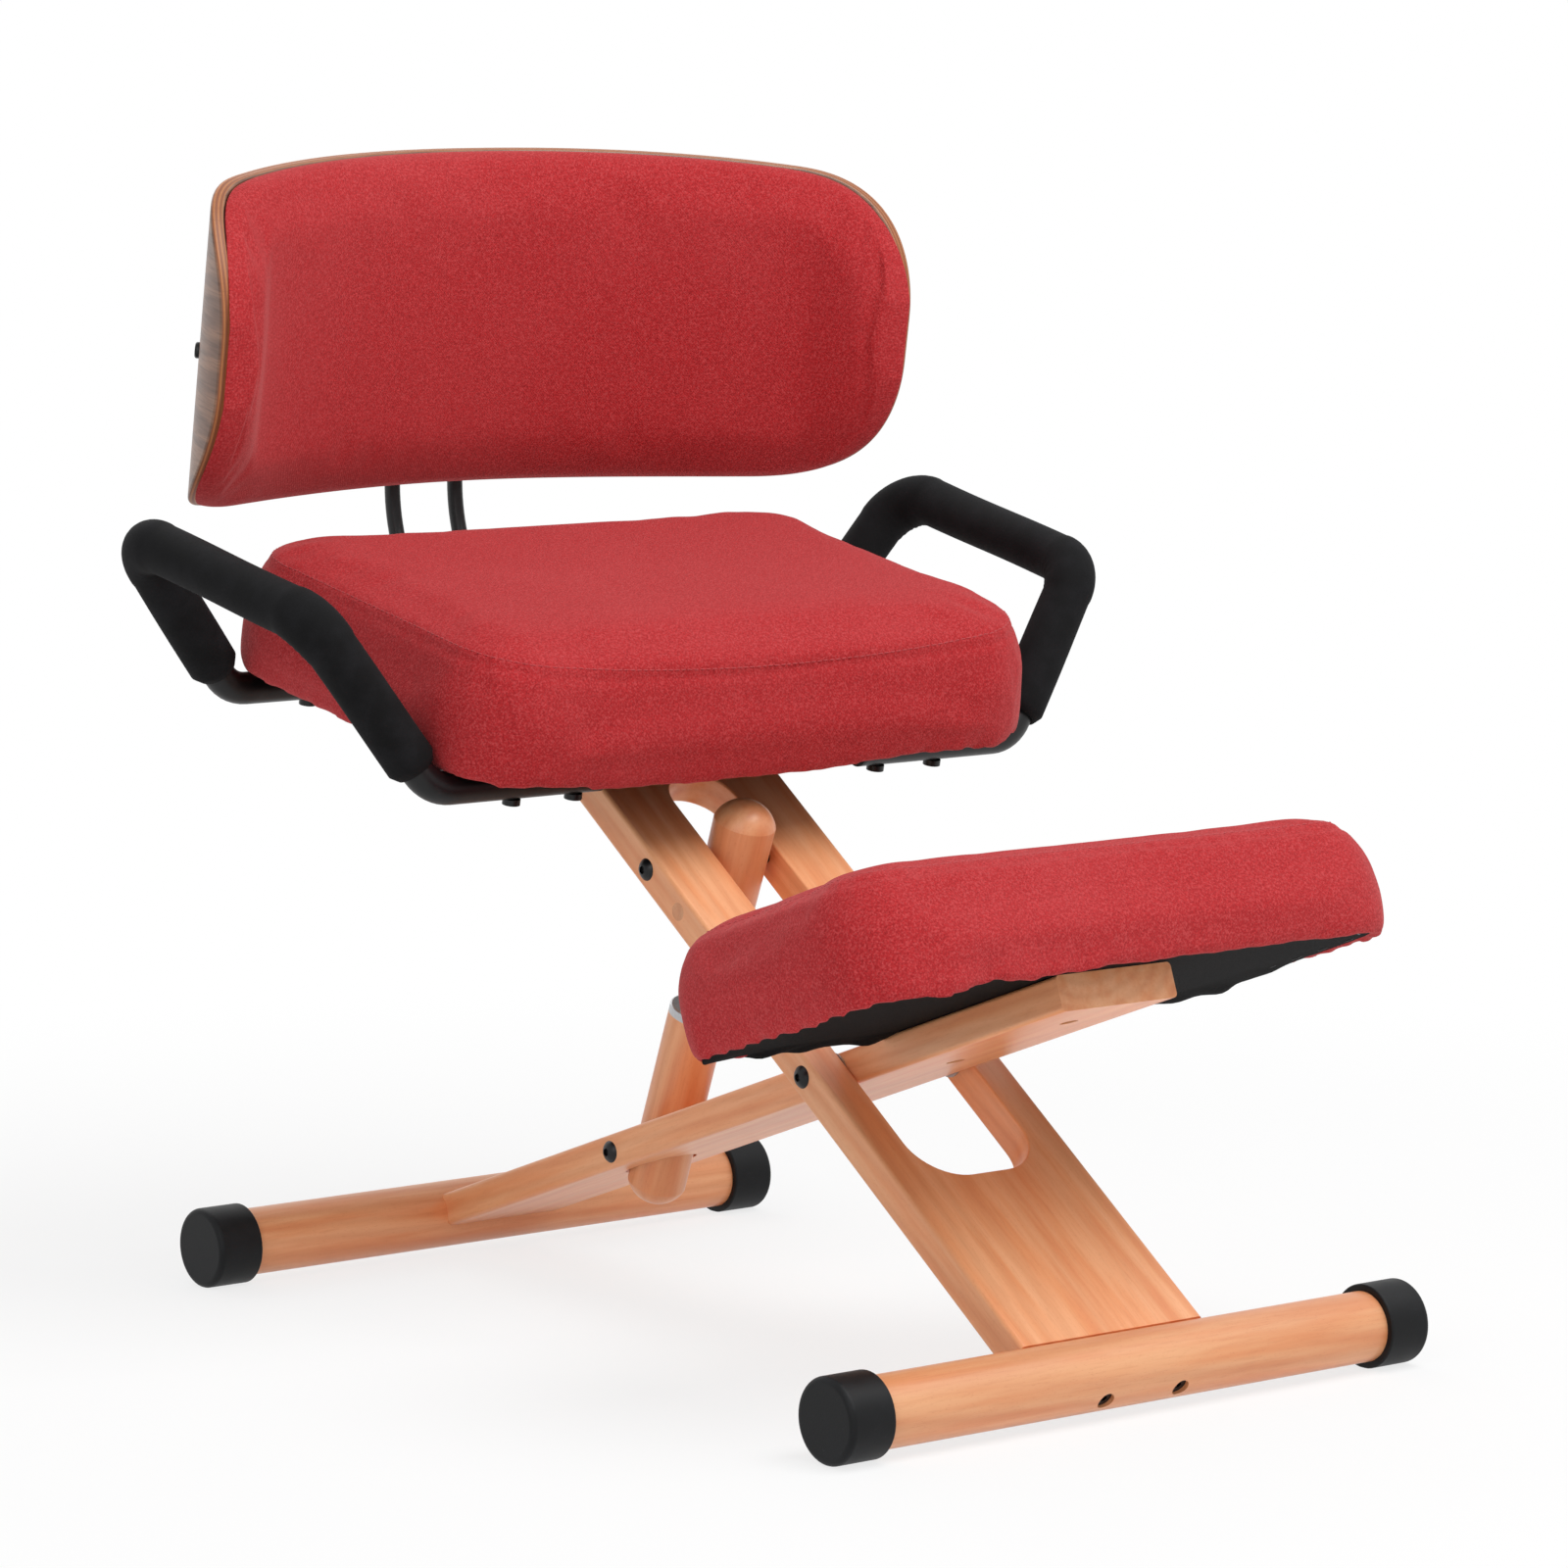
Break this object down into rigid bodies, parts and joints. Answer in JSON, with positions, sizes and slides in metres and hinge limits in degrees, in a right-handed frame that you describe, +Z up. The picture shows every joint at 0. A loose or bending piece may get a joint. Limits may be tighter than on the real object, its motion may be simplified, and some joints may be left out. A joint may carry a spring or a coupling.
{
  "type": "kneeling chair",
  "caption": "Wooden kneeling posture stool with a crossing frame and screw adjuster, padded seat and knee rest, curved back rest and foam side grips.",
  "frame": {"origin": "on the floor, in the middle of the overall length and width", "axes": "+Z up, -Y the way the sitter faces, +X to the sitter's left"},
  "size_m": [0.6918, 0.7844, 0.7758],
  "materials": {
    "beech": "clear satin varnish",
    "plywood": "stained veneer",
    "red_cloth": "fine woven cloth over foam",
    "dust_cloth": "non-woven cloth",
    "black_rubber": "matt",
    "grip_foam": "matt closed-cell foam",
    "black_plastic": "matt",
    "black_tube": "satin powder coat",
    "bright_steel": "plain",
    "black_screw": "black zinc"
  },
  "bodies": {
    "seat_frame": {"frame_board": "beech", "front_foot_bar": "beech", "front_foot_caps": "black_rubber", "front_bar_bolts": "black_screw", "pivot_bolt": "black_screw", "pivot_nut": "black_screw", "pivot_washers": "bright_steel", "post_bolt": "black_screw", "post_nut": "black_screw", "hole_plugs": "beech", "seat_board": "plywood", "seat_cover": "dust_cloth", "seat_cushion": "red_cloth", "seat_screws": "black_screw", "handle_tube_right": "black_tube", "handle_tube_left": "black_tube", "handle_grip_right": "grip_foam", "handle_grip_left": "grip_foam", "handle_plugs": "black_plastic", "handle_bolts": "black_screw", "back_rods": "black_tube", "rod_straps": "black_plastic", "strap_screws": "black_screw", "rod_clamps": "black_plastic", "clamp_screws": "black_screw", "back_shell": "plywood", "back_pad": "red_cloth", "pad_screws": "black_screw"},
    "knee_arm_body": {"knee_arm": "beech", "rear_foot_bar": "beech", "rear_foot_caps": "black_rubber", "rear_bar_bolts": "black_screw", "arm_pin": "black_screw", "arm_pin_nut": "black_screw", "knee_board": "plywood", "knee_cover": "dust_cloth", "knee_cushion": "red_cloth", "knee_screws": "black_screw"},
    "post_body": {"adjuster_post": "beech", "adjuster_spindle": "bright_steel"},
    "sleeve_body": {"adjuster_sleeve": "beech", "adjuster_ferrule": "bright_steel"}
  },
  "joints": [
    {"name": "frame_pivot", "type": "hinge", "parent": "seat_frame", "child": "knee_arm_body", "pos_m": [0, -0.13645, 0.1893], "axis": [1, 0, 0], "range_deg": [-6, 8]},
    {"name": "post_pivot", "type": "hinge", "parent": "seat_frame", "child": "post_body", "pos_m": [0, 0.02821, 0.30631], "axis": [1, 0, 0], "range_deg": [-4.8, 6.4]},
    {"name": "sleeve_pivot", "type": "hinge", "parent": "knee_arm_body", "child": "sleeve_body", "pos_m": [0, 0.10563, 0.10299], "axis": [1, 0, 0], "range_deg": [-1.9, 1.5]}
  ],
  "couplings": [
    {"joint": "post_pivot", "follows": "frame_pivot", "ratio": 0.776},
    {"joint": "sleeve_pivot", "follows": "frame_pivot", "ratio": -0.224}
  ]
}
